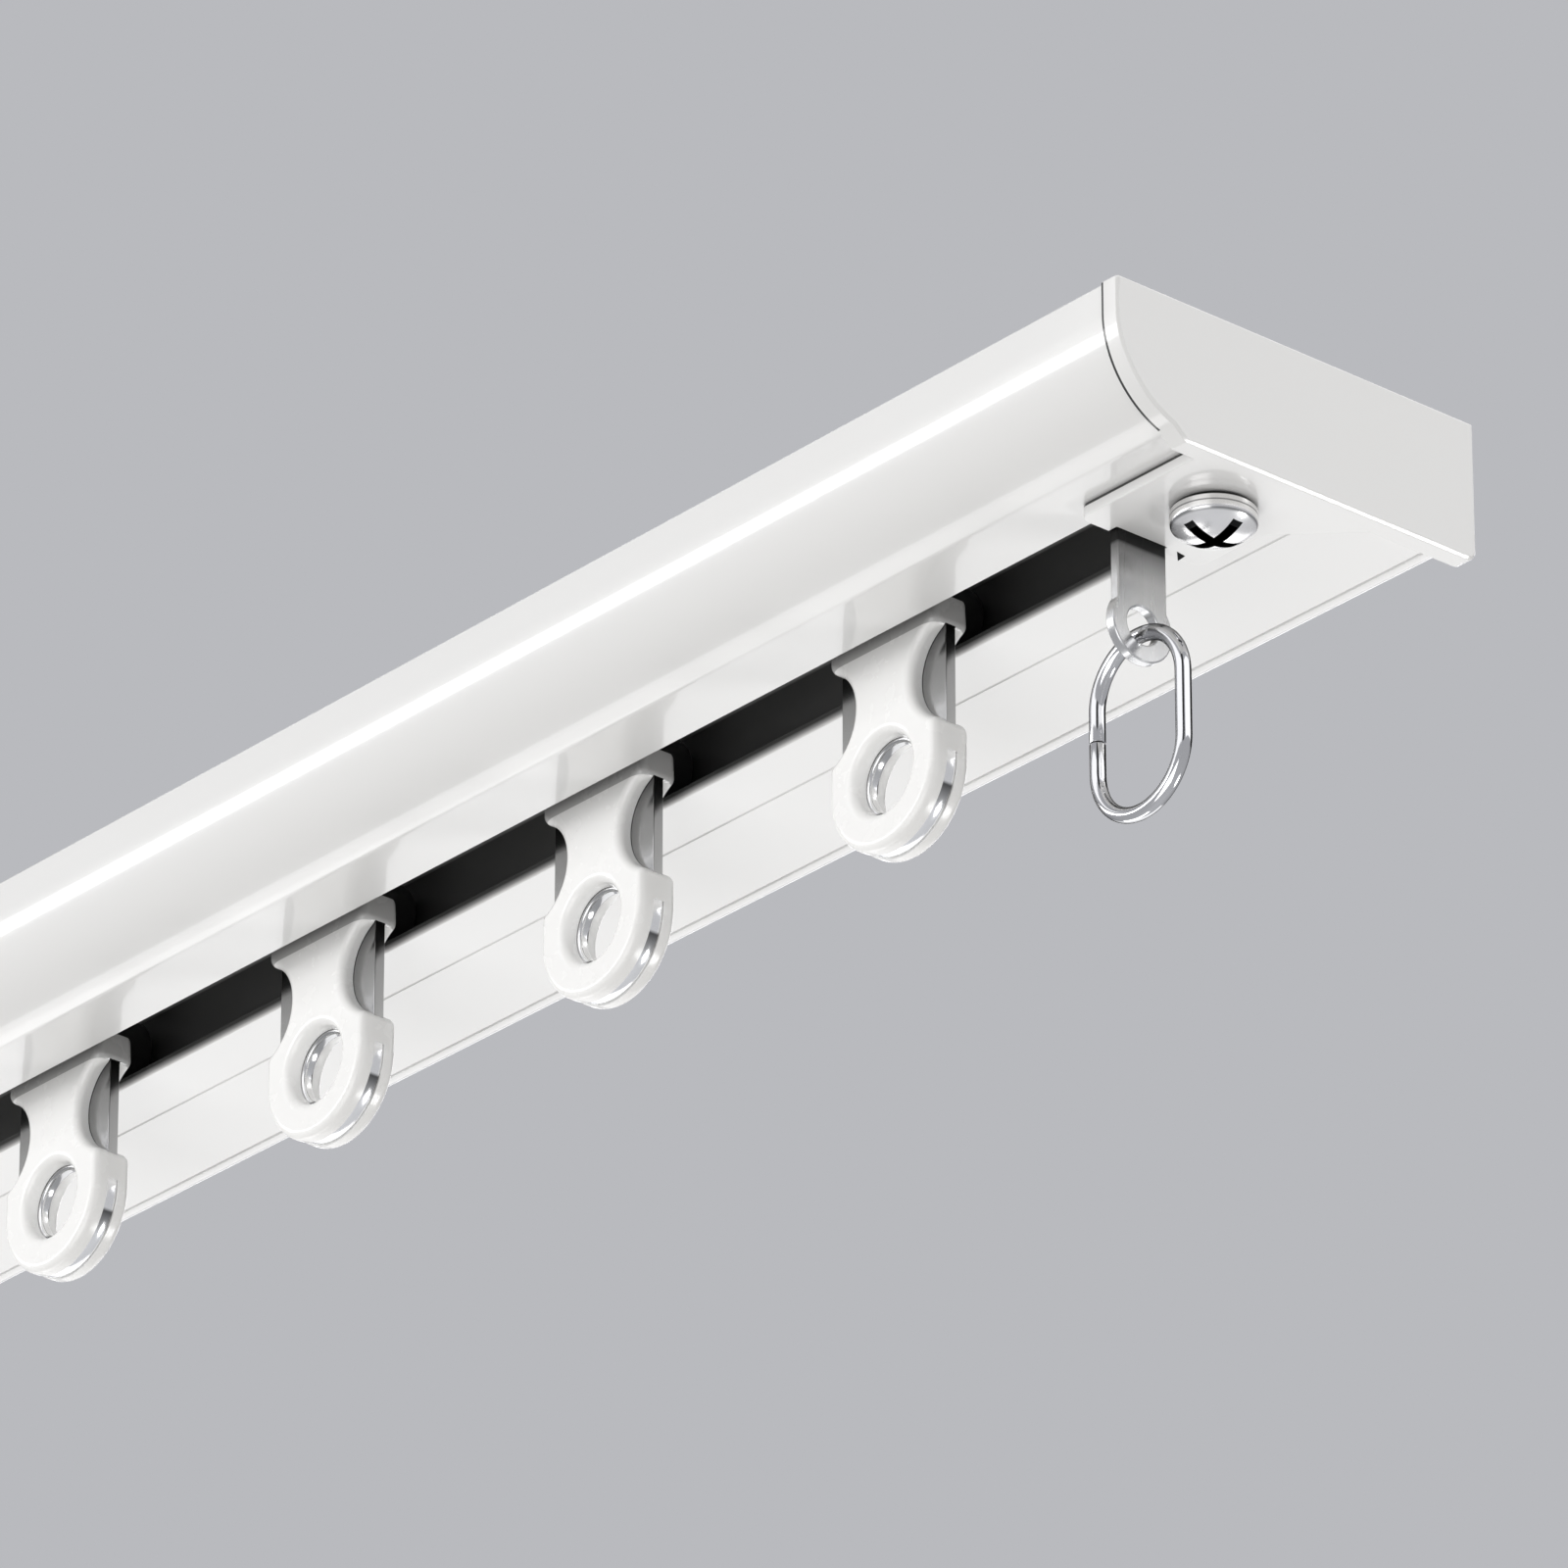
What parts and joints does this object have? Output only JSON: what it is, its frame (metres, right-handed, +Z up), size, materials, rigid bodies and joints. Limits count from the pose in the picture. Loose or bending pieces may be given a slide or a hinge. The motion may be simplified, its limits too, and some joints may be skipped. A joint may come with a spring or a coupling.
{
  "type": "ceiling curtain track",
  "caption": "Short ceiling curtain track: slotted white rail with end caps, wheeled eyelet runners and a hanging end ring.",
  "frame": {"origin": "centre of the rail's flat top face, over the middle of the slot and midway between the two ceiling holes", "axes": "+X along the rail towards the end with the hanging ring, +Z up into the ceiling, the curved front looks to -Y"},
  "size_m": [0.32, 0.0403, 0.0387],
  "materials": {
    "painted_rail": "gloss white powder coat on extruded aluminium",
    "cap_plastic": "gloss white moulded plastic",
    "runner_plastic": "smooth white moulded plastic",
    "wheel_plastic": "black moulded plastic",
    "plate_steel": "bright stamped steel",
    "bright_steel": "bright plated sheet steel",
    "bright_wire": "polished steel wire",
    "nickel": "nickel plated steel"
  },
  "bodies": {
    "track": {"rail": "painted_rail", "end_cap_right": "cap_plastic", "end_cap_left": "cap_plastic", "clamp_strip": "bright_steel", "clamp_plate": "bright_steel", "clamp_screws": "nickel", "clamp_nuts": "nickel"},
    "end_ring": {"end_ring": "bright_wire"},
    "runner_1": {"runner_1_plate": "plate_steel", "runner_1_body": "runner_plastic"},
    "runner_1_wheels": {"runner_1_axle": "plate_steel", "runner_1_wheel_front": "wheel_plastic", "runner_1_wheel_rear": "wheel_plastic"},
    "runner_2": {"runner_2_plate": "plate_steel", "runner_2_body": "runner_plastic"},
    "runner_2_wheels": {"runner_2_axle": "plate_steel", "runner_2_wheel_front": "wheel_plastic", "runner_2_wheel_rear": "wheel_plastic"},
    "runner_3": {"runner_3_plate": "plate_steel", "runner_3_body": "runner_plastic"},
    "runner_3_wheels": {"runner_3_axle": "plate_steel", "runner_3_wheel_front": "wheel_plastic", "runner_3_wheel_rear": "wheel_plastic"},
    "runner_4": {"runner_4_plate": "plate_steel", "runner_4_body": "runner_plastic"},
    "runner_4_wheels": {"runner_4_axle": "plate_steel", "runner_4_wheel_front": "wheel_plastic", "runner_4_wheel_rear": "wheel_plastic"}
  },
  "joints": [
    {"name": "end_ring_swing", "type": "hinge", "parent": "track", "child": "end_ring", "pos_m": [0.1445, -0.0006, -0.02185], "axis": [1, 0, 0], "range_deg": [-110, 110]},
    {"name": "runner_1_slide", "type": "slide", "parent": "track", "child": "runner_1", "axis": [1, 0, 0], "range_m": [-0.034, 0.017]},
    {"name": "runner_1_roll", "type": "hinge", "parent": "runner_1", "child": "runner_1_wheels", "pos_m": [0.11375, 0, -0.0069], "axis": [0, 1, 0], "continuous": true},
    {"name": "runner_2_slide", "type": "slide", "parent": "runner_1", "child": "runner_2", "axis": [1, 0, 0], "range_m": [-0.034, 0.0242]},
    {"name": "runner_2_roll", "type": "hinge", "parent": "runner_2", "child": "runner_2_wheels", "pos_m": [0.07565, 0, -0.0069], "axis": [0, 1, 0], "continuous": true},
    {"name": "runner_3_slide", "type": "slide", "parent": "runner_2", "child": "runner_3", "axis": [1, 0, 0], "range_m": [-0.034, 0.0242]},
    {"name": "runner_3_roll", "type": "hinge", "parent": "runner_3", "child": "runner_3_wheels", "pos_m": [0.03755, 0, -0.0069], "axis": [0, 1, 0], "continuous": true},
    {"name": "runner_4_slide", "type": "slide", "parent": "runner_3", "child": "runner_4", "axis": [1, 0, 0], "range_m": [-0.034, 0.0242]},
    {"name": "runner_4_roll", "type": "hinge", "parent": "runner_4", "child": "runner_4_wheels", "pos_m": [-0.00055, 0, -0.0069], "axis": [0, 1, 0], "continuous": true}
  ]
}
